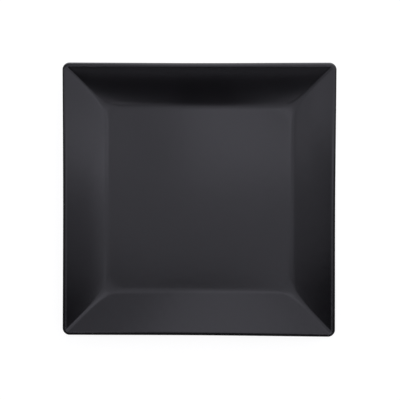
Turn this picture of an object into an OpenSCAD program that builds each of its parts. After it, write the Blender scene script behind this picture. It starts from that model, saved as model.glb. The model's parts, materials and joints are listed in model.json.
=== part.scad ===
// Square dinner plate in stoneware: one pressed and fired clay body with a foot ring, and
// the three coats of satin glaze that are fused to it. Millimetres, +Z up. The origin is the
// middle of the plane that the foot ring stands on.
//
// Every solid is a loft. A station is one rounded square of the loft, written as
//   [half width, height, corner radius, angle]
// where the angle is that of the surface's normal in the section, from straight up (0)
// through straight out (90) to straight down (180).

/* [Outline] */
// Width across the glazed lip
plate_w = 267; // [240:1:320]
// Corner radius of the glazed outline, seen from above
outline_corner_r = 7; // [6:0.5:16]
// How far the middle of each side of the lip draws in from a straight line
side_bow = 0.5; // [0:0.1:1.5]

/* [Well and rim] */
// Width of the flat floor of the well
well_w = 175; // [140:1:190]
// Corner radius of the flat floor
well_corner_r = 18; // [6:1:24]
// How late the rim's corners open out on their way down to that radius, where 1 is evenly
corner_lateness = 5; // [1:0.5:6]
// Radius of the bend where the floor turns up into the rim
well_bend_r = 28; // [10:1:40]
// Tilt of the rim just outside that bend, in degrees
rim_inner_tilt = 16; // [10:1:20]
// Tilt of the rim just inside the lip, in degrees
rim_outer_tilt = 27; // [26:1:34]

/* [Clay] */
// Thickness of the clay under the well and through the rim
clay_wall = 4.7; // [4.5:0.1:6]
// Radius of the clay over the top of the lip
lip_top_r = 2.6; // [2:0.1:2.8]

/* [Foot] */
// How far the resting face's outer edge lies inside the edge of the well's flat floor
foot_inset = 8.5; // [8:0.5:20]
// Width of the resting face
foot_face_w = 4; // [3:0.25:7]
// Corner radius of the resting face's outer edge
foot_corner_r = 18; // [12:1:24]
// Height of the clay underside above the table, outside the foot ring
foot_h = 3; // [2.6:0.1:5]
// Height of the clay base panel above the table, inside the foot ring
base_h = 2.6; // [2.2:0.1:4]
// Lean of the foot ring's two walls, in degrees
foot_draft = 20; // [5:1:30]
// Radius of the edges beside the resting face
foot_edge_r = 0.6; // [0.3:0.1:0.8]
// Radius of the hollows where the foot ring's walls meet the clay above them
foot_root_r = 1; // [0.6:0.1:1.2]

/* [Glaze] */
// Thickness of every coat
glaze_t = 0.35; // [0.2:0.05:0.5]
// Height of the clay that is wiped bare on the foot ring's walls
foot_bare_h = 0.9; // [0.8:0.05:1]

/* [Smoothness] */
// Flats around each corner
corner_steps = 8; // [4:1:12]
// Flats along each side
side_steps = 4; // [2:1:6]
// Flats from the floor of the well to the lip
rim_steps = 7; // [4:1:9]
// Flats around each small radius
edge_steps = 4; // [2:1:5]

/* [Hidden] */

clay_colour = "#b8a78d";
glaze_colour = "#2a292d";

// Outline of the clay, which the glaze makes larger by its thickness
clay_half = plate_w / 2 - glaze_t;
clay_corner_r = outline_corner_r - glaze_t;
well_half = well_w / 2;
floor_z = foot_h + clay_wall;

// Section of the rim: the bend, then a hollow arc that meets the lip
lip_join_half = clay_half - lip_top_r * (1 + sin(rim_outer_tilt));
bend_end = [
    well_half + well_bend_r * sin(rim_inner_tilt),
    floor_z + well_bend_r * (1 - cos(rim_inner_tilt))
];
hollow_r = (lip_join_half - bend_end.x) / (sin(rim_outer_tilt) - sin(rim_inner_tilt));
hollow_centre = bend_end + hollow_r * [-sin(rim_inner_tilt), cos(rim_inner_tilt)];
lip_join_z = hollow_centre.y - hollow_r * cos(rim_outer_tilt);

// The lip's upper radius and the smaller one below it touch at the widest line of the plate
lip_z = lip_join_z - lip_top_r * cos(rim_outer_tilt);
lip_under_r = (clay_wall - lip_top_r * (1 + sin(rim_outer_tilt))) / (1 - sin(rim_outer_tilt));
lip_join_corner_r = clay_corner_r - (clay_half - lip_join_half);

// Section of the foot ring
foot_outer = well_half - foot_inset;
foot_inner = foot_outer - foot_face_w;

// Corner radius on the lip, where every station keeps the same corner centre
function lip_corner(half) = clay_corner_r - (clay_half - half);

// Corner radius on the rim, which stays tight below the lip and opens out towards the well
function rim_corner(half) =
    let (down = max(0, (lip_join_half - half) / (lip_join_half - well_half)))
    lip_join_corner_r + (well_corner_r - lip_join_corner_r) * pow(down, corner_lateness);

// Corner radius on the foot ring, where every station keeps the same corner centre
function foot_corner(half) = foot_corner_r + half - foot_outer;

// Point on a section arc. A negative radius makes a hollow arc.
function on_arc(centre, r, angle) = centre + r * [sin(angle), cos(angle)];

// Angles in equal steps from one to another
function angles(from, to, steps) = [for (i = [0:steps]) from + (to - from) * i / steps];

// Stations of a coat's outer face, a thickness away from the clay's stations
function coated(stations) = [
    for (s = stations)
        let (out = glaze_t * sin(s[3]))
        [s[0] + out, s[1] + glaze_t * cos(s[3]), s[2] + out, s[3]]
];

// Stations of the clay's underside, a wall's thickness below the rim's stations
function underside(stations) = [
    for (s = stations)
        let (out = -clay_wall * sin(s[3]))
        [s[0] + out, s[1] - clay_wall * cos(s[3]), s[2] + out, s[3] + 180]
];

function reversed(list) = [for (i = [len(list) - 1:-1:0]) list[i]];

function from_second(list) = [for (i = [1:len(list) - 1]) list[i]];

// Stations from the edge of the flat floor up to the lip
rim_clay = [
    for (angle = angles(0, -rim_inner_tilt, edge_steps))
        let (p = on_arc([well_half, floor_z + well_bend_r], -well_bend_r, angle))
        [p.x, p.y, rim_corner(p.x), angle],
    for (angle = from_second(angles(-rim_inner_tilt, -rim_outer_tilt, rim_steps)))
        let (p = on_arc(hollow_centre, -hollow_r, angle))
        [p.x, p.y, rim_corner(p.x), angle]
];

// Stations over the top of the lip to the widest line
lip_clay = [
    for (angle = angles(-rim_outer_tilt, 90, 2 * edge_steps))
        let (p = on_arc([clay_half - lip_top_r, lip_z], lip_top_r, angle))
        [p.x, p.y, lip_corner(p.x), angle]
];

// Stations from the widest line to the underside of the rim
lip_under_clay = [
    for (angle = angles(90, 180 - rim_outer_tilt, edge_steps))
        let (p = on_arc([clay_half - lip_under_r, lip_z], lip_under_r, angle))
        [p.x, p.y, lip_corner(p.x), angle]
];

// Stations of one wall of the foot ring, from the hollow at its root to the edge of its
// resting face. Side is 1 for the outer wall and -1 for the inner one.
function foot_wall(edge_half, root_z, side) =
    let (
        root_r = min(foot_root_r, root_z / 2),
        wall_angle = 180 - side * (90 - foot_draft),
        edge_centre = [edge_half, foot_edge_r],
        edge_top = on_arc(edge_centre, foot_edge_r, wall_angle),
        climb = [side * tan(foot_draft), 1],
        bare_line = edge_top + climb * (foot_bare_h - edge_top.y),
        root_low_z = root_z - root_r * (1 - sin(foot_draft)),
        root_low = edge_top + climb * (root_low_z - edge_top.y),
        root_centre = on_arc(root_low, root_r, wall_angle)
    )
    [
        [
            for (angle = angles(180, wall_angle, edge_steps))
                let (p = on_arc(root_centre, -root_r, angle))
                [p.x, p.y, foot_corner(p.x), angle],
            [bare_line.x, bare_line.y, foot_corner(bare_line.x), wall_angle]
        ],
        [
            for (angle = angles(wall_angle, 180, edge_steps))
                let (p = on_arc(edge_centre, foot_edge_r, angle))
                [p.x, p.y, foot_corner(p.x), angle]
        ]
    ];

foot_outer_wall = foot_wall(foot_outer, foot_h, 1);
foot_inner_wall = foot_wall(foot_inner, base_h, -1);

// The clay's surface in the stretches that each coat covers, and the one left bare
face_stretch = concat(rim_clay, from_second(lip_clay));
back_stretch = concat(
    lip_under_clay,
    from_second(reversed(underside(rim_clay))),
    foot_outer_wall[0]
);
bare_stretch = concat(foot_outer_wall[1], reversed(foot_inner_wall[1]));
base_stretch = reversed(foot_inner_wall[0]);

// Share of the side bow that a station takes: all of it at the lip and none by the well
function bow_share(half) = max(0, min(1, (half - well_half) / (clay_half - well_half)));

// Points around one station, anticlockwise from the +X side's upper end
function ring(station) =
    let (
        half = station[0],
        corner_r = station[2],
        reach = half - corner_r,
        bow = side_bow * bow_share(half)
    )
    [
        for (quarter = [0:3])
            let (turn = 90 * quarter)
            each [
                for (i = [0:corner_steps])
                    let (angle = 90 * i / corner_steps)
                    turned([reach + corner_r * cos(angle), reach + corner_r * sin(angle)],
                        station[1], turn),
                for (i = [1:side_steps - 1])
                    let (along = 1 - 2 * i / side_steps)
                    turned([reach * along, half - bow * (1 - along * along)],
                        station[1], turn)
            ]
    ];

function turned(p, z, turn) = [
    p.x * cos(turn) - p.y * sin(turn),
    p.x * sin(turn) + p.y * cos(turn),
    z
];

ring_points = 4 * (corner_steps + side_steps);

// Two triangles for each step around the gap between one ring of points and the next
function band(first, second) = [
    for (i = [0:ring_points - 1])
        let (next = (i + 1) % ring_points)
        each [
            [first + i, first + next, second + next],
            [first + i, second + next, second + i]
        ]
];

// A solid whose stations run outwards over its upper side and back under it to the middle
module dish(stations) {
    last = len(stations) - 1;
    top_middle = ring_points * (last + 1);
    base_middle = top_middle + 1;
    polyhedron(
        points = [
            for (s = stations) each ring(s),
            [0, 0, stations[0][1]],
            [0, 0, stations[last][1]]
        ],
        faces = [
            for (i = [0:last - 1]) each band(i * ring_points, (i + 1) * ring_points),
            for (i = [0:ring_points - 1]) [top_middle, (i + 1) % ring_points, i],
            for (i = [0:ring_points - 1])
                let (first = last * ring_points)
                [base_middle, first + i, first + (i + 1) % ring_points]
        ]
    );
}

// A solid whose stations run outwards over its upper side and back under it to the start
module square_band(stations) {
    count = len(stations);
    polyhedron(
        points = [for (s = stations) each ring(s)],
        faces = [
            for (i = [0:count - 1])
                each band(i * ring_points, ((i + 1) % count) * ring_points)
        ]
    );
}

// The fired clay: well, rim, lip and foot ring in one pressing
module clay_body()
    color(clay_colour)
        dish(concat(face_stretch, from_second(back_stretch), bare_stretch, base_stretch));

// Glaze over the well, the rim and the top of the lip, down to the widest line
module face_glaze()
    color(glaze_colour)
        dish(concat(coated(face_stretch), reversed(face_stretch)));

// Glaze under the rim, from the widest line in to the foot ring's outer wall
module back_glaze()
    color(glaze_colour)
        square_band(concat(reversed(back_stretch), coated(back_stretch)));

// Glaze on the base panel inside the foot ring
module base_glaze()
    color(glaze_colour)
        dish(concat(reversed(base_stretch), coated(base_stretch)));

clay_body();
face_glaze();
back_glaze();
base_glaze();
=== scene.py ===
"""Square dinner plate in satin black stoneware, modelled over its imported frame.

Every piece is a loft. A station is one rounded square of the loft, and the stations follow the
plate's section, which is worked out here from the same sizes as the solids. Lengths are metres.
"""

import json
import math
from collections import namedtuple

import bmesh
import bpy
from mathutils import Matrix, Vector

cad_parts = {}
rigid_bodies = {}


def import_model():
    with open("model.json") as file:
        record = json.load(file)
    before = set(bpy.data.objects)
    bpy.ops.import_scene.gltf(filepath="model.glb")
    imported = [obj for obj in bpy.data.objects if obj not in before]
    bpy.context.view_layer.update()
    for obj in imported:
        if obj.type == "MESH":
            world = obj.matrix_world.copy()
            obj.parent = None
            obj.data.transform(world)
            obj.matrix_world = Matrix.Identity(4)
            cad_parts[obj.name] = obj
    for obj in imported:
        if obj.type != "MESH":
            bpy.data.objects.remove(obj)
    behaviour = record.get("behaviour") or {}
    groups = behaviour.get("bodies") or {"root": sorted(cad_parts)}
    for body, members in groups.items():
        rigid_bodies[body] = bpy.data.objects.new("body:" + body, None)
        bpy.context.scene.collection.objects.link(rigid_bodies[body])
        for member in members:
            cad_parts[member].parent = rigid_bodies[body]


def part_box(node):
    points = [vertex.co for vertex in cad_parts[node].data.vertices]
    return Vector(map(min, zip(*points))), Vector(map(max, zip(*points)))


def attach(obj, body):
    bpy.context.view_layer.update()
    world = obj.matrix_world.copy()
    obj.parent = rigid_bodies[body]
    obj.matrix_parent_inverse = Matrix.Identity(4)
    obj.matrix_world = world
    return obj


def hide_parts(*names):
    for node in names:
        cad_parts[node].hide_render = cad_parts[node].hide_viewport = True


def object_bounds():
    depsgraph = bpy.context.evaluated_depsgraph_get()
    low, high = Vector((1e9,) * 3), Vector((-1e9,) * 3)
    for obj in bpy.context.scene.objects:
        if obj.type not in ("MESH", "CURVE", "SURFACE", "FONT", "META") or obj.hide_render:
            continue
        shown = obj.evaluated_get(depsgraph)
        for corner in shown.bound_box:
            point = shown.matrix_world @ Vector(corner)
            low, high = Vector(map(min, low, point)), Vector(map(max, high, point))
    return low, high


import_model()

bl_info = {
    "name": "Square dinner plate",
    "version": (1, 0, 0),
    "blender": (4, 5, 0),
    "location": "3D View > Sidebar > Plate",
    "description": "Models a square stoneware dinner plate and its photo stage",
    "category": "Object",
}

CAD_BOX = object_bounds()

# Lowest and highest corners of the solids, from which some of the default sizes come
CLAY_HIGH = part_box("clay_body")[1]
FACE_LOW, FACE_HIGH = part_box("face_glaze")
BACK_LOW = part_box("back_glaze")[0]
BASE_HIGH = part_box("base_glaze")[1]

MM = 0.001

# Flats in each rounded corner of a station, and in each arc of the section
CORNER_FLATS = 12
BEND_FLATS = 8
RIM_FLATS = 26
LIP_FLATS = 14
UNDER_FLATS = 8
ROOT_FLATS = 6
EDGE_FLATS = 4
GLAZE_END_FLATS = 4

# Points in the ring of a station, and the space between rings while they are bridged
RING_POINTS = 4 * (CORNER_FLATS + 1)
RING_SPREAD = 20 * MM

# Cuts across each straight side, and how far in the faces that close a loft are inset
SIDE_CUTS = 15
CAP_INSET = 4 * MM

# Faces that meet at less than this are shaded as one surface
SMOOTH_ANGLE = math.radians(40)

# How near a lattice's centre line its middle points lie, in its own lengths. The outer ones are
# half a length away.
CAGE_MIDDLE = 0.1

# Features of the glaze: clouds, grain and long swells
GLAZE_CLOUD = 35 * MM
GLAZE_GRAIN = 0.9 * MM
GLAZE_SWELL = 9 * MM

# The noise levels at which the glaze begins to cloud and is cloudy, and how much paler it then is
GLAZE_CLOUD_LEVELS = (0.3, 0.7)
GLAZE_CLOUD_TONE = 1.35

# How much clouds and grain change the glaze's roughness
GLAZE_CLOUD_ROUGHNESS = 0.05
GLAZE_GRAIN_ROUGHNESS = 0.04

# Height of the grain beside the swells in the glaze's skin, and the depth of the skin
GLAZE_GRAIN_HEIGHT = 0.35
GLAZE_SKIN = 0.03 * MM

GLAZE_IOR = 1.5

# Features of the clay: clouds, grain and specks
CLAY_CLOUD = 12 * MM
CLAY_GRAIN = 0.35 * MM
CLAY_SPECK = 0.8 * MM

# The noise levels at the edge and in the middle of a speck, and the tones between which the clay
# around it is cloudy
CLAY_SPECK_LEVELS = (0.66, 0.7)
CLAY_DULL_TONE = 0.82
CLAY_PALE_TONE = 1.12

# Roughness of the clay, how much the grain changes it, and the depth of the grain
CLAY_ROUGHNESS = 0.78
CLAY_GRAIN_ROUGHNESS = 0.12
CLAY_SKIN = 0.06 * MM

# The floor's width, and how far it lies below the foot
FLOOR_SIZE = 6.0
FLOOR_DROP = 0.3 * MM

# The floor's own glow, and its share in what is seen of the floor. The rest is paint, which takes
# the light and the plate's shadow.
FLOOR_GLOW = 1.12
FLOOR_GLOW_SHARE = 0.8

# The room is white where it is seen, and dimmer as a light
WHITE = (1, 1, 1, 1)
ROOM_LIGHT = 0.25

# Camera: straight above the plate but for small shifts, and turned by small angles in degrees.
# Its focal length is given in pixels of a square image.
CAMERA_HEIGHT = 1.5
CAMERA_PLACE = (0.0005, -0.0011)
CAMERA_TURN = (-2.1, 2.16, 0.16)
CAMERA_CLIP = 0.01
FOCAL_PIXELS = 1516
IMAGE_PIXELS = 400
SENSOR_MM = 36


def length(name, description, default):
    """A length that a user would change"""
    return bpy.props.FloatProperty(
        name=name, description=description, default=default, min=0, precision=5, unit="LENGTH"
    )


def tilt(name, description, degrees):
    """An angle that a user would change"""
    return bpy.props.FloatProperty(
        name=name, description=description, default=math.radians(degrees), unit="ROTATION"
    )


def share(name, description, default):
    """A number from 0 to 1 that a user would change"""
    return bpy.props.FloatProperty(
        name=name, description=description, default=default, min=0, max=1, subtype="FACTOR"
    )


def colour(name, description, default):
    """A colour that a user would change"""
    return bpy.props.FloatVectorProperty(
        name=name, description=description, default=default, size=3, min=0, max=1, subtype="COLOR"
    )


class PlateSizes(bpy.types.PropertyGroup):
    """The plate's driving sizes"""

    width: length("Width", "Width across the glazed lip", FACE_HIGH.x - FACE_LOW.x)
    outline_corner: length("Outline corner", "Corner radius of the outline", 7 * MM)
    side_bow: length("Side bow", "How far the middle of each side draws in", 0.5 * MM)
    well_width: length("Well width", "Width of the flat floor of the well", 175 * MM)
    well_corner: length("Well corner", "Corner radius of the flat floor", 18 * MM)
    corner_lateness: bpy.props.FloatProperty(
        name="Corner lateness",
        description="How late the rim's corners open out on their way down, where 1 is evenly",
        default=5,
        min=1,
        max=6,
    )
    well_bend: length("Well bend", "Radius where the floor turns up into the rim", 28 * MM)
    rim_inner_tilt: tilt("Rim inner tilt", "Tilt of the rim just outside the bend", 16)
    rim_outer_tilt: tilt("Rim outer tilt", "Tilt of the rim just inside the lip", 27)
    floor_height: length("Floor height", "Height of the clay floor of the well", FACE_LOW.z)
    clay_wall: length("Clay wall", "Thickness of the clay", 4.7 * MM)
    lip_top: length("Lip top", "Radius of the clay over the top of the lip", 2.6 * MM)
    foot_inset: length("Foot inset", "From the well floor's edge in to the foot", 8.5 * MM)
    foot_face: length("Foot face", "Width of the foot ring's resting face", 4 * MM)
    foot_corner: length("Foot corner", "Corner radius of the foot ring", 18 * MM)
    base_height: length("Base height", "Height of the clay base panel", BASE_HIGH.z)
    foot_draft: tilt("Foot draft", "Lean of the foot ring's two walls", 20)
    foot_edge: length("Foot edge", "Radius of the edges beside the resting face", 0.6 * MM)
    foot_root: length("Foot root", "Radius where the foot meets the clay above it", 1 * MM)
    glaze: length("Glaze", "Thickness of the glaze", FACE_HIGH.z - CLAY_HIGH.z)
    foot_bare: length("Bare foot", "Height of the bare clay on the foot's walls", BACK_LOW.z)


class PlateColours(bpy.types.PropertyGroup):
    """The plate's colours and finish, and the floor's colour"""

    glaze: colour("Glaze", "Colour of the glaze", (0.003, 0.0028, 0.0035))
    glaze_roughness: share("Glaze roughness", "How blurred the glaze's reflections are", 0.19)
    clay: colour("Clay", "Colour of the bare clay", (0.42, 0.34, 0.25))
    speck: colour("Speck", "Colour of the iron specks in the clay", (0.10, 0.06, 0.04))
    floor: colour("Floor", "Colour of the stage's floor", (0.9, 0.9, 0.9))


# One rounded square of a loft. The angle is that of the surface's normal in the section, from
# straight up (0) through straight out (90 degrees) to straight down (180 degrees).
Station = namedtuple("Station", "half height corner angle")


def arc(centre, radius, start, stop, flats):
    """Points and normal angles along a section arc, hollow where the radius is negative"""
    for step in range(flats + 1):
        angle = start + (stop - start) * step / flats
        yield (
            centre[0] + radius * math.sin(angle),
            centre[1] + radius * math.cos(angle),
            angle,
        )


class Section:
    """The section of the clay, in stretches of stations"""

    def __init__(self, sizes):
        self.sizes = sizes
        self.clay_half = sizes.width / 2 - sizes.glaze
        self.clay_corner = sizes.outline_corner - sizes.glaze
        self.well_half = sizes.well_width / 2
        self.foot_outer = self.well_half - sizes.foot_inset
        self.foot_height = sizes.floor_height - sizes.clay_wall
        self.lip_join_half = self.clay_half - sizes.lip_top * (1 + math.sin(sizes.rim_outer_tilt))
        self.rim = self.rim_stations()
        self.lip = self.lip_stations()
        self.lip_under = self.lip_under_stations()
        self.under_rim = [self.moved(s, -sizes.clay_wall, math.pi) for s in reversed(self.rim)]
        self.outer_wall, self.outer_edge = self.foot_wall(self.foot_outer, self.foot_height, 1)
        self.inner_wall, self.inner_edge = self.foot_wall(
            self.foot_outer - sizes.foot_face, sizes.base_height, -1
        )
        self.face = self.rim + self.lip[1:]
        self.back = self.lip_under + self.under_rim[1:] + self.outer_wall
        self.bare = self.outer_edge + self.inner_edge[::-1]
        self.base = self.inner_wall[::-1]

    def rim_corner(self, half):
        """Corner radius on the rim, which stays tight below the lip and opens out by the well"""
        lip_join_corner = self.clay_corner - (self.clay_half - self.lip_join_half)
        down = max(0, (self.lip_join_half - half) / (self.lip_join_half - self.well_half))
        opened = down**self.sizes.corner_lateness
        return lip_join_corner + (self.sizes.well_corner - lip_join_corner) * opened

    def lip_corner(self, half):
        """Corner radius on the lip, where every station keeps the same corner centre"""
        return self.clay_corner - (self.clay_half - half)

    def foot_corner(self, half):
        """Corner radius on the foot, where every station keeps the same corner centre"""
        return self.sizes.foot_corner + half - self.foot_outer

    def rim_stations(self):
        """From the edge of the flat floor, round the bend and up the hollow rim to the lip"""
        s = self.sizes
        bend_centre = (self.well_half, s.floor_height + s.well_bend)
        bend = list(arc(bend_centre, -s.well_bend, 0, -s.rim_inner_tilt, BEND_FLATS))
        end_half, end_height, _ = bend[-1]
        sine_span = math.sin(s.rim_outer_tilt) - math.sin(s.rim_inner_tilt)
        hollow = (self.lip_join_half - end_half) / sine_span
        hollow_centre = (
            end_half - hollow * math.sin(s.rim_inner_tilt),
            end_height + hollow * math.cos(s.rim_inner_tilt),
        )
        rise = list(arc(hollow_centre, -hollow, -s.rim_inner_tilt, -s.rim_outer_tilt, RIM_FLATS))
        return [Station(x, z, self.rim_corner(x), angle) for x, z, angle in bend + rise[1:]]

    def lip_centre_height(self):
        """Height of the widest line of the plate"""
        s = self.sizes
        return self.rim[-1].height - s.lip_top * math.cos(s.rim_outer_tilt)

    def lip_stations(self):
        """Over the top of the lip to the widest line"""
        s = self.sizes
        centre = (self.clay_half - s.lip_top, self.lip_centre_height())
        points = arc(centre, s.lip_top, -s.rim_outer_tilt, math.pi / 2, LIP_FLATS)
        return [Station(x, z, self.lip_corner(x), angle) for x, z, angle in points]

    def lip_under_stations(self):
        """From the widest line round to the underside of the rim

        The radius makes the arc end on the line of the rim's underside, a wall's thickness below
        the line of its top.
        """
        s = self.sizes
        lean = math.sin(s.rim_outer_tilt)
        radius = (s.clay_wall - s.lip_top * (1 + lean)) / (1 - lean)
        centre = (self.clay_half - radius, self.lip_centre_height())
        points = arc(centre, radius, math.pi / 2, math.pi - s.rim_outer_tilt, UNDER_FLATS)
        return [Station(x, z, self.lip_corner(x), angle) for x, z, angle in points]

    def foot_wall(self, edge_half, root_height, side):
        """One wall of the foot ring, then its rounded edge, for side 1 (outer) or -1 (inner)"""
        s = self.sizes
        root = min(s.foot_root, root_height / 2)
        wall_angle = math.pi - side * (math.pi / 2 - s.foot_draft)
        edge_points = list(arc((edge_half, s.foot_edge), s.foot_edge, wall_angle, math.pi, EDGE_FLATS))
        top_half, top_height, _ = edge_points[0]

        def wall_half(height):
            return top_half + side * math.tan(s.foot_draft) * (height - top_height)

        root_low = root_height - root * (1 - math.sin(s.foot_draft))
        root_centre = (
            wall_half(root_low) + root * math.sin(wall_angle),
            root_low + root * math.cos(wall_angle),
        )
        wall_points = list(arc(root_centre, -root, math.pi, wall_angle, ROOT_FLATS))
        wall_points.append((wall_half(s.foot_bare), s.foot_bare, wall_angle))
        return (
            [Station(x, z, self.foot_corner(x), angle) for x, z, angle in wall_points],
            [Station(x, z, self.foot_corner(x), angle) for x, z, angle in edge_points],
        )

    @staticmethod
    def moved(station, distance, turn=0.0):
        """A station moved along its normal"""
        out = distance * math.sin(station.angle)
        return Station(
            station.half + out,
            station.height + distance * math.cos(station.angle),
            station.corner + out,
            station.angle + turn,
        )

    def coated(self, stations):
        """The outer face of a coat of glaze over some stations"""
        return [self.moved(station, self.sizes.glaze) for station in stations]

    def thinned_end(self, stations):
        """The outer face of a coat whose last stretch rounds off to the clay

        The station on the clay itself is left out, because the coat's inner face has it.
        """
        last = stations[-1]
        before = stations[-2]
        glaze = self.sizes.glaze
        coat = self.coated(stations[:-1])
        for step in range(GLAZE_END_FLATS + 1):
            turn = step / GLAZE_END_FLATS * math.pi / 2
            along = 1 - glaze * (1 - math.sin(turn)) / math.dist(last[:2], before[:2])
            point = Station(*(a + (b - a) * along for a, b in zip(before, last)))
            coat.append(self.moved(point, glaze * math.cos(turn)))
        return coat[:-1]


def start_mesh(name):
    """An empty mesh object, open in edit mode with nothing else selected"""
    bpy.ops.object.select_all(action="DESELECT")
    bpy.ops.mesh.primitive_plane_add()
    piece = bpy.context.object
    piece.name = piece.data.name = name
    bpy.ops.object.mode_set(mode="EDIT")
    bpy.ops.mesh.select_mode(type="VERT")
    bpy.ops.mesh.select_all(action="SELECT")
    bpy.ops.mesh.delete(type="VERT")
    return piece


def select_rings(piece, *rings):
    """Selects whole rings of points by their numbers, with the edges in each"""
    bpy.ops.mesh.select_all(action="DESELECT")
    mesh = bmesh.from_edit_mesh(piece.data)
    mesh.verts.ensure_lookup_table()
    for ring in rings:
        for point in mesh.verts[RING_POINTS * ring : RING_POINTS * (ring + 1)]:
            point.select_set(True)
    mesh.select_flush(True)


def add_ring(station, height):
    """Adds one rounded square as a wire"""
    bpy.ops.mesh.primitive_plane_add(size=2 * station.half, location=(0, 0, height))
    bpy.ops.mesh.bevel(
        offset=station.corner, segments=CORNER_FLATS, affect="VERTICES", clamp_overlap=False
    )
    bpy.ops.mesh.select_linked()
    bpy.ops.mesh.delete(type="ONLY_FACE")


def bridge(piece, first, second):
    """Joins two rings with a band of faces"""
    select_rings(piece, first, second)
    bpy.ops.mesh.bridge_edge_loops()


def cap_ends(piece, first, last):
    """Closes two rings with flat faces, which an inset keeps flat in their shading too

    Both are inset together and last, because the points that an inset adds can take numbers
    between those of the rings.
    """
    for ring in (first, last):
        select_rings(piece, ring)
        bpy.ops.mesh.edge_face_add()
    select_rings(piece, first, last)
    bpy.ops.mesh.inset(thickness=CAP_INSET)


def cut_sides(piece, limit):
    """Cuts up the edges along the straight sides, the only ones longer than the limit"""
    bpy.ops.mesh.select_all(action="DESELECT")
    mesh = bmesh.from_edit_mesh(piece.data)
    for edge in mesh.edges:
        if edge.calc_length() > limit:
            edge.select_set(True)
    bpy.ops.mesh.subdivide(number_cuts=SIDE_CUTS)


def loft(name, stations, closed=False):
    """A solid over a list of stations, capped at both ends or closed into a band

    The rings are bridged while they lie far apart, because bridging can twist two rings that
    share a plane. Each one is then dropped to its own height.
    """
    piece = start_mesh(name)
    last = len(stations) - 1
    for ring, station in enumerate(stations):
        add_ring(station, ring * RING_SPREAD)
        if ring > 0:
            bridge(piece, ring - 1, ring)
    if closed:
        bridge(piece, last, 0)
    for ring, station in enumerate(stations):
        select_rings(piece, ring)
        bpy.ops.transform.translate(value=(0, 0, station.height - ring * RING_SPREAD))
    if not closed:
        cap_ends(piece, 0, last)
    cut_sides(piece, min(station.half - station.corner for station in stations))
    bpy.ops.mesh.select_all(action="SELECT")
    bpy.ops.mesh.normals_make_consistent(inside=False)
    bpy.ops.object.mode_set(mode="OBJECT")
    return piece


def warp(piece, sizes):
    """Draws the middle of each side in, as the kiln does, with a lattice round the whole plate"""
    bpy.ops.object.select_all(action="DESELECT")
    bpy.ops.object.add(type="LATTICE", location=(CAD_BOX[0] + CAD_BOX[1]) / 2)
    cage = bpy.context.object
    cage.scale = CAD_BOX[1] - CAD_BOX[0]
    cage.data.points_u = cage.data.points_v = 3
    cage.data.points_w = 2
    cage.data.interpolation_type_u = "KEY_CARDINAL"
    cage.data.interpolation_type_v = "KEY_CARDINAL"
    draw_in = sizes.side_bow / sizes.width
    for point in cage.data.points:
        x, y, _ = point.co
        if (abs(x) < CAGE_MIDDLE) != (abs(y) < CAGE_MIDDLE):
            point.co_deform = point.co * (1 - 2 * draw_in)
            point.co_deform.z = point.co.z
    bpy.context.view_layer.update()
    bpy.ops.object.select_all(action="DESELECT")
    piece.select_set(True)
    bpy.context.view_layer.objects.active = piece
    modifier = piece.modifiers.new("Kiln warp", "LATTICE")
    modifier.object = cage
    bpy.ops.object.modifier_apply(modifier=modifier.name)
    bpy.data.objects.remove(cage)


def finish_piece(piece, node, material, sizes):
    """Warps a piece, smooths its shading and puts it in the place of its solid"""
    warp(piece, sizes)
    bpy.ops.object.shade_smooth_by_angle(angle=SMOOTH_ANGLE)
    piece.data.materials.clear()
    piece.data.materials.append(material)
    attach(piece, "root")
    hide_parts(node)


# Sockets of a Mix node for colours, by number because they share names with those for numbers
MIX_FACTOR = 0
MIX_FIRST = 6
MIX_SECOND = 7
MIX_RESULT = 2

NOISE_MIDDLE = 0.5


class Wire:
    """A socket of a shader node, with Python's arithmetic"""

    def __init__(self, recipe, socket):
        self.recipe = recipe
        self.socket = socket

    def math(self, operation, *values):
        """Adds a Math node"""
        return self.recipe.add("ShaderNodeMath", {"operation": operation}, dict(enumerate(values)))

    def __add__(self, other):
        return self.math("ADD", self, other)

    def __radd__(self, other):
        return self.math("ADD", other, self)

    def __sub__(self, other):
        return self.math("SUBTRACT", self, other)

    def __rsub__(self, other):
        return self.math("SUBTRACT", other, self)

    def __mul__(self, other):
        return self.math("MULTIPLY", self, other)

    def __rmul__(self, other):
        return self.math("MULTIPLY", other, self)

    def maximum(self, other):
        """The greater of two wires"""
        return self.math("MAXIMUM", self, other)


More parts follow.
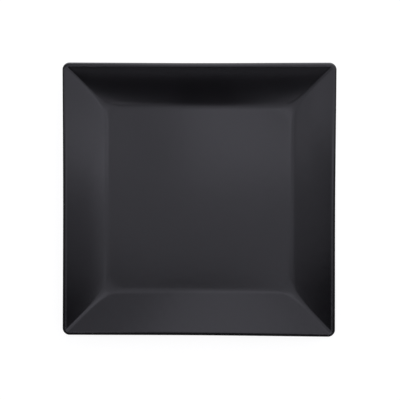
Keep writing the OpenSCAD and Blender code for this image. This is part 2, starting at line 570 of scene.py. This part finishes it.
class Recipe:
    """The shader nodes of a material or of the world"""

    def __init__(self, holder):
        self.holder = holder
        holder.use_nodes = True
        self.tree = holder.node_tree
        self.tree.nodes.clear()

    def add(self, kind, settings=None, inputs=None, output=0):
        """Adds a node, gives it its settings, then its values and links"""
        node = self.tree.nodes.new(kind)
        for name, value in (settings or {}).items():
            setattr(node, name, value)
        for key, value in (inputs or {}).items():
            if isinstance(value, Wire):
                self.tree.links.new(value.socket, node.inputs[key])
            else:
                node.inputs[key].default_value = value
        return Wire(self, node.outputs[output]) if len(node.outputs) else None

    def noise(self, size, detail):
        """Noise from 0 to 1 on Object coordinates, with features of about the given size"""
        place = self.add("ShaderNodeTexCoord", output="Object")
        values = {"Vector": place, "Scale": 1 / size, "Detail": detail}
        return self.add("ShaderNodeTexNoise", inputs=values)

    def ramp(self, wire, low, high):
        """Rises from 0 to 1 while a wire goes from one level to another, and is held beyond them"""
        values = {"Value": wire, "From Min": low, "From Max": high}
        return self.add("ShaderNodeMapRange", inputs=values)

    def blend(self, factor, first, second):
        """Mixes two colours"""
        values = {MIX_FACTOR: factor, MIX_FIRST: first, MIX_SECOND: second}
        return self.add("ShaderNodeMix", {"data_type": "RGBA"}, values, MIX_RESULT)

    def bump(self, height, depth):
        """A bump whose height of 1 stands for the given depth"""
        return self.add("ShaderNodeBump", inputs={"Height": height, "Distance": depth})

    def mix_shaders(self, factor, first, second):
        """Mixes two shaders, whose sockets share a name and so go by number"""
        return self.add("ShaderNodeMixShader", inputs={0: factor, 1: first, 2: second})

    def ray(self, test):
        """1 for the rays that pass one of Light Path's tests, and 0 for the others"""
        return self.add("ShaderNodeLightPath", output=test)

    def finish(self, surface, output="ShaderNodeOutputMaterial"):
        """Links the surface to the output, and returns the finished material or world"""
        self.add(output, inputs={"Surface": surface})
        return self.holder


def rgba(value, tone=1):
    """A colour with full opacity, made paler or duller by its tone"""
    return (*(channel * tone for channel in value), 1)


def sway(noise, span):
    """A shift by noise, of up to half a span either way"""
    return (noise - NOISE_MIDDLE) * span


def glaze_material(name, colours):
    """Satin black glaze: a dark ground with a fine, slightly uneven skin"""
    recipe = Recipe(bpy.data.materials.new(name))
    cloud = recipe.noise(GLAZE_CLOUD, detail=3)
    grain = recipe.noise(GLAZE_GRAIN, detail=2)
    swell = recipe.noise(GLAZE_SWELL, detail=1)
    cloudy = recipe.ramp(cloud, *GLAZE_CLOUD_LEVELS)
    ground = recipe.blend(cloudy, rgba(colours.glaze), rgba(colours.glaze, GLAZE_CLOUD_TONE))
    rough = colours.glaze_roughness + sway(cloud, GLAZE_CLOUD_ROUGHNESS)
    rough += sway(grain, GLAZE_GRAIN_ROUGHNESS)
    skin = recipe.bump(grain * GLAZE_GRAIN_HEIGHT + swell, GLAZE_SKIN)
    values = {"Base Color": ground, "Roughness": rough, "Normal": skin, "IOR": GLAZE_IOR}
    return recipe.finish(recipe.add("ShaderNodeBsdfPrincipled", inputs=values))


def clay_material(colours):
    """Bare fired stoneware: buff, finely speckled and dry"""
    recipe = Recipe(bpy.data.materials.new("bare clay"))
    cloud = recipe.noise(CLAY_CLOUD, detail=4)
    grain = recipe.noise(CLAY_GRAIN, detail=3)
    specks = recipe.ramp(recipe.noise(CLAY_SPECK, detail=1), *CLAY_SPECK_LEVELS)
    dull = rgba(colours.clay, CLAY_DULL_TONE)
    pale = rgba(colours.clay, CLAY_PALE_TONE)
    body = recipe.blend(specks, recipe.blend(cloud, dull, pale), rgba(colours.speck))
    rough = CLAY_ROUGHNESS + sway(grain, CLAY_GRAIN_ROUGHNESS)
    values = {"Base Color": body, "Roughness": rough, "Normal": recipe.bump(grain, CLAY_SKIN)}
    return recipe.finish(recipe.add("ShaderNodeBsdfPrincipled", inputs=values))


def seen_ray(recipe):
    """1 for the rays that show the background: camera, glossy and transmission rays"""
    seen = recipe.ray("Is Camera Ray").maximum(recipe.ray("Is Glossy Ray"))
    return seen.maximum(recipe.ray("Is Transmission Ray"))


def floor_material(colours):
    """White floor that still takes the plate's shadow, and is clear from below

    It is clear to shadow rays as well, so that the lamp below it reaches the underside.
    """
    recipe = Recipe(bpy.data.materials.new("floor"))
    glow = recipe.add("ShaderNodeEmission", inputs={"Color": WHITE, "Strength": FLOOR_GLOW})
    paint = recipe.add("ShaderNodeBsdfDiffuse", inputs={"Color": rgba(colours.floor)})
    top = recipe.mix_shaders(seen_ray(recipe) * FLOOR_GLOW_SHARE, paint, glow)
    back = recipe.add("ShaderNodeNewGeometry", output="Backfacing")
    back = back.maximum(recipe.ray("Is Shadow Ray"))
    clear = recipe.add("ShaderNodeBsdfTransparent")
    return recipe.finish(recipe.mix_shaders(back, top, clear))


def room_world():
    """A white room, which lights the plate only dimly"""
    recipe = Recipe(bpy.data.worlds.new("room"))
    white = recipe.add("ShaderNodeBackground", inputs={"Color": WHITE, "Strength": 1})
    dim = recipe.add("ShaderNodeBackground", inputs={"Color": WHITE, "Strength": ROOM_LIGHT})
    return recipe.finish(recipe.mix_shaders(seen_ray(recipe), dim, white), "ShaderNodeOutputWorld")


class PLATE_OT_clay_body(bpy.types.Operator):
    """Model the fired clay: well, rim, lip and foot ring in one"""

    bl_idname = "plate.clay_body"
    bl_label = "Clay Body"

    def execute(self, context):
        sizes = context.scene.plate_sizes
        section = Section(sizes)
        stations = section.face + section.back[1:] + section.bare + section.base
        piece = loft("stoneware_body", stations)
        material = clay_material(context.scene.plate_colours)
        finish_piece(piece, "clay_body", material, sizes)
        return {"FINISHED"}


class PLATE_OT_face_glaze(bpy.types.Operator):
    """Model the glaze over the well, the rim and the lip"""

    bl_idname = "plate.face_glaze"
    bl_label = "Face Glaze"

    def execute(self, context):
        sizes = context.scene.plate_sizes
        section = Section(sizes)
        piece = loft("glaze_coat_face", section.coated(section.face) + section.face[::-1])
        material = glaze_material("face glaze", context.scene.plate_colours)
        finish_piece(piece, "face_glaze", material, sizes)
        return {"FINISHED"}


class PLATE_OT_back_glaze(bpy.types.Operator):
    """Model the glaze under the rim, down to the foot ring"""

    bl_idname = "plate.back_glaze"
    bl_label = "Back Glaze"

    def execute(self, context):
        sizes = context.scene.plate_sizes
        section = Section(sizes)
        stations = section.back[::-1] + section.thinned_end(section.back)
        piece = loft("glaze_coat_back", stations, closed=True)
        material = glaze_material("back glaze", context.scene.plate_colours)
        finish_piece(piece, "back_glaze", material, sizes)
        return {"FINISHED"}


class PLATE_OT_base_glaze(bpy.types.Operator):
    """Model the glaze on the base panel inside the foot ring"""

    bl_idname = "plate.base_glaze"
    bl_label = "Base Glaze"

    def execute(self, context):
        sizes = context.scene.plate_sizes
        section = Section(sizes)
        wall = section.inner_wall
        piece = loft("glaze_coat_base", wall + section.thinned_end(wall)[::-1])
        material = glaze_material("base glaze", context.scene.plate_colours)
        finish_piece(piece, "base_glaze", material, sizes)
        return {"FINISHED"}


def add_camera(scene):
    """The camera, at the photograph's viewing angle"""
    turn = [math.radians(angle) for angle in CAMERA_TURN]
    bpy.ops.object.camera_add(location=(0, 0, 0), rotation=turn)
    camera = bpy.context.object
    camera.name = "camera"
    bpy.context.view_layer.update()
    back = camera.matrix_world.to_3x3() @ Vector((0, 0, CAMERA_HEIGHT))
    camera.location = back + Vector((*CAMERA_PLACE, 0))
    camera.data.sensor_width = SENSOR_MM
    camera.data.lens = SENSOR_MM * FOCAL_PIXELS / IMAGE_PIXELS
    camera.data.clip_start = CAMERA_CLIP
    scene.camera = camera


# Softboxes: metres, and turns and tilts in degrees. Each one's brightness is that of its surface.
# They hang flat over the plate, but for the back window, which stands behind it, and the light
# from below, which lies face up under the floor. Each is raised by one more step than the one
# before it, so that no two share a plane.
SOFTBOX_HEIGHT = 0.75
SOFTBOX_STEP = 1 * MM
LAMP_COLOUR = (0.975, 0.965, 1.1)
Softbox = namedtuple(
    "Softbox", "name x y width depth turn brightness height tilt", defaults=(SOFTBOX_HEIGHT, 0)
)
SOFTBOXES = (
    Softbox("back strip", -0.19, 1.99, 0.26, 4.0, 8, 0.63),
    Softbox("back softbox", -0.05, 1.515, 0.60, 2.8, -7, 0.57),
    Softbox("left softbox", -1.12, 0.24, 1.24, 0.32, 0, 0.96),
    Softbox("right softbox", 1.43, 2.06, 2.7, 4.0, 3, 0.98),
    Softbox("left fill", -0.33, 0.10, 0.40, 0.18, 0, 0.25),
    Softbox("middle softbox", 0.05, -0.04, 0.56, 0.26, -16, 0.37),
    Softbox("middle band", 0.03, -0.025, 1.8, 0.28, -1, 0.48),
    Softbox("left inner fill", -0.40, 0.13, 0.18, 0.20, 0, 0.35),
    Softbox("front left fill", -0.19, -0.27, 0.28, 0.13, 26, 0.55),
    Softbox("front right fill", 0.18, -0.29, 0.30, 0.15, -32, 0.65),
    Softbox("front left lamp", -0.37, -0.38, 0.44, 0.12, 34, 2.0),
    Softbox("front right lamp", 0.30, -0.40, 0.36, 0.14, -38, 2.4),
    Softbox("front strip", 0.03, -0.73, 0.65, 0.09, 0, 0.74),
    Softbox("back window", 0, 1.9, 2.6, 0.7, 0, 2.0, 0.4, -90),
    Softbox("light from below", 0, 0, 1.6, 1.6, 0, 0.7, -0.7, 180),
)


def add_softbox(box, step):
    """One softbox, which the camera doesn't see"""
    turn = (math.radians(box.tilt), 0, math.radians(box.turn))
    place = (box.x, box.y, box.height + step * SOFTBOX_STEP)
    bpy.ops.object.light_add(type="AREA", location=place, rotation=turn)
    lamp = bpy.context.object
    lamp.name = box.name
    lamp.data.color = LAMP_COLOUR
    lamp.data.shape = "RECTANGLE"
    lamp.data.size = box.width
    lamp.data.size_y = box.depth
    lamp.data.energy = box.brightness * math.pi * box.width * box.depth
    lamp.visible_camera = False


# Cards that only reflections show: metres, and turns in degrees. The canopy and walls are dim
# cloth: the canopy hangs over the softboxes so that the slopes reflect dark between them, and the
# walls leave the back open. The edge cards are painted shade: dark sheets just over the floor
# beside the plate that stand in for its shadow there, so that its lip reflects a dark edge.
CANOPY_HEIGHT = 0.9
ROOM_HALF = 2.3
CANOPY_SIZE = (2 * ROOM_HALF, 2 * ROOM_HALF)
SIDE_WALL_SIZE = (CANOPY_HEIGHT, 2 * ROOM_HALF)
FRONT_WALL_SIZE = (2 * ROOM_HALF, CANOPY_HEIGHT)
WALL_MIDDLE = CANOPY_HEIGHT / 2
# The edge cards, which are painted shade, lie this far out and this high
SHADE_CARD_PLACE = 0.45
SHADE_CARD_HEIGHT = -FLOOR_DROP / 2
FLAT = (0, 0, 0)
DARK_GLOW = 0.01
WALL_GLOW = 0.2
Card = namedtuple("Card", "name place size turn glow")
CARDS = (
    Card("canopy", (0, 0, CANOPY_HEIGHT), CANOPY_SIZE, FLAT, DARK_GLOW),
    Card("left wall", (-ROOM_HALF, 0, WALL_MIDDLE), SIDE_WALL_SIZE, (0, 90, 0), WALL_GLOW),
    Card("right wall", (ROOM_HALF, 0, WALL_MIDDLE), SIDE_WALL_SIZE, (0, 90, 0), WALL_GLOW),
    Card("front wall", (0, -ROOM_HALF, WALL_MIDDLE), FRONT_WALL_SIZE, (90, 0, 0), WALL_GLOW),
    # Painted shade: dark sheets for the plate's shadow on the floor, which only reflections show
    Card("left painted shade card", (-SHADE_CARD_PLACE, 0, SHADE_CARD_HEIGHT), (0.6, 0.3), FLAT, DARK_GLOW),
    Card("right painted shade card", (SHADE_CARD_PLACE, 0, SHADE_CARD_HEIGHT), (0.6, 0.3), FLAT, DARK_GLOW),
    Card("front painted shade card", (0, -SHADE_CARD_PLACE, SHADE_CARD_HEIGHT), (1.5, 0.6), FLAT, DARK_GLOW),
)


def add_card(card):
    """One card, lit evenly by its own dim glow"""
    turn = [math.radians(angle) for angle in card.turn]
    bpy.ops.mesh.primitive_plane_add(size=1, location=card.place, rotation=turn)
    sheet = bpy.context.object
    sheet.name = sheet.data.name = card.name
    sheet.scale = (*card.size, 1)
    bpy.ops.object.transform_apply(location=True, rotation=True, scale=True)
    recipe = Recipe(bpy.data.materials.new(card.name))
    dim = recipe.add("ShaderNodeEmission", inputs={"Color": WHITE, "Strength": card.glow})
    sheet.data.materials.append(recipe.finish(dim))
    sheet.visible_camera = False
    sheet.visible_diffuse = False
    sheet.visible_transmission = False
    sheet.visible_shadow = False


class PLATE_OT_stage(bpy.types.Operator):
    """Set the floor, the light and the camera of a straight-down product photograph"""

    bl_idname = "plate.stage"
    bl_label = "Stage"

    def execute(self, context):
        scene = context.scene
        bpy.ops.object.select_all(action="DESELECT")
        bpy.ops.mesh.primitive_plane_add(size=FLOOR_SIZE, location=(0, 0, -FLOOR_DROP))
        floor = context.object
        floor.name = floor.data.name = "floor"
        floor.data.materials.append(floor_material(scene.plate_colours))
        for step, box in enumerate(SOFTBOXES):
            add_softbox(box, step)
        for card in CARDS:
            add_card(card)
        scene.world = room_world()
        add_camera(scene)
        scene.view_settings.view_transform = "Standard"
        return {"FINISHED"}


STEPS = (
    PLATE_OT_clay_body,
    PLATE_OT_face_glaze,
    PLATE_OT_back_glaze,
    PLATE_OT_base_glaze,
    PLATE_OT_stage,
)


class PLATE_PT_panel(bpy.types.Panel):
    """Sidebar panel with the plate's sizes, colours and steps"""

    bl_idname = "PLATE_PT_panel"
    bl_label = "Square Dinner Plate"
    bl_space_type = "VIEW_3D"
    bl_region_type = "UI"
    bl_category = "Plate"

    def draw(self, context):
        for group in (context.scene.plate_sizes, context.scene.plate_colours):
            box = self.layout.box()
            for name in group.__annotations__:
                box.prop(group, name)
        for step in STEPS:
            self.layout.operator(step.bl_idname)


CLASSES = (PlateSizes, PlateColours, *STEPS, PLATE_PT_panel)


def register():
    for cls in CLASSES:
        bpy.utils.register_class(cls)
    bpy.types.Scene.plate_sizes = bpy.props.PointerProperty(type=PlateSizes)
    bpy.types.Scene.plate_colours = bpy.props.PointerProperty(type=PlateColours)


def unregister():
    del bpy.types.Scene.plate_colours
    del bpy.types.Scene.plate_sizes
    for cls in reversed(CLASSES):
        bpy.utils.unregister_class(cls)


def main():
    register()
    bpy.ops.plate.clay_body()
    bpy.ops.plate.face_glaze()
    bpy.ops.plate.back_glaze()
    bpy.ops.plate.base_glaze()
    bpy.ops.plate.stage()


if __name__ == "__main__":
    main()
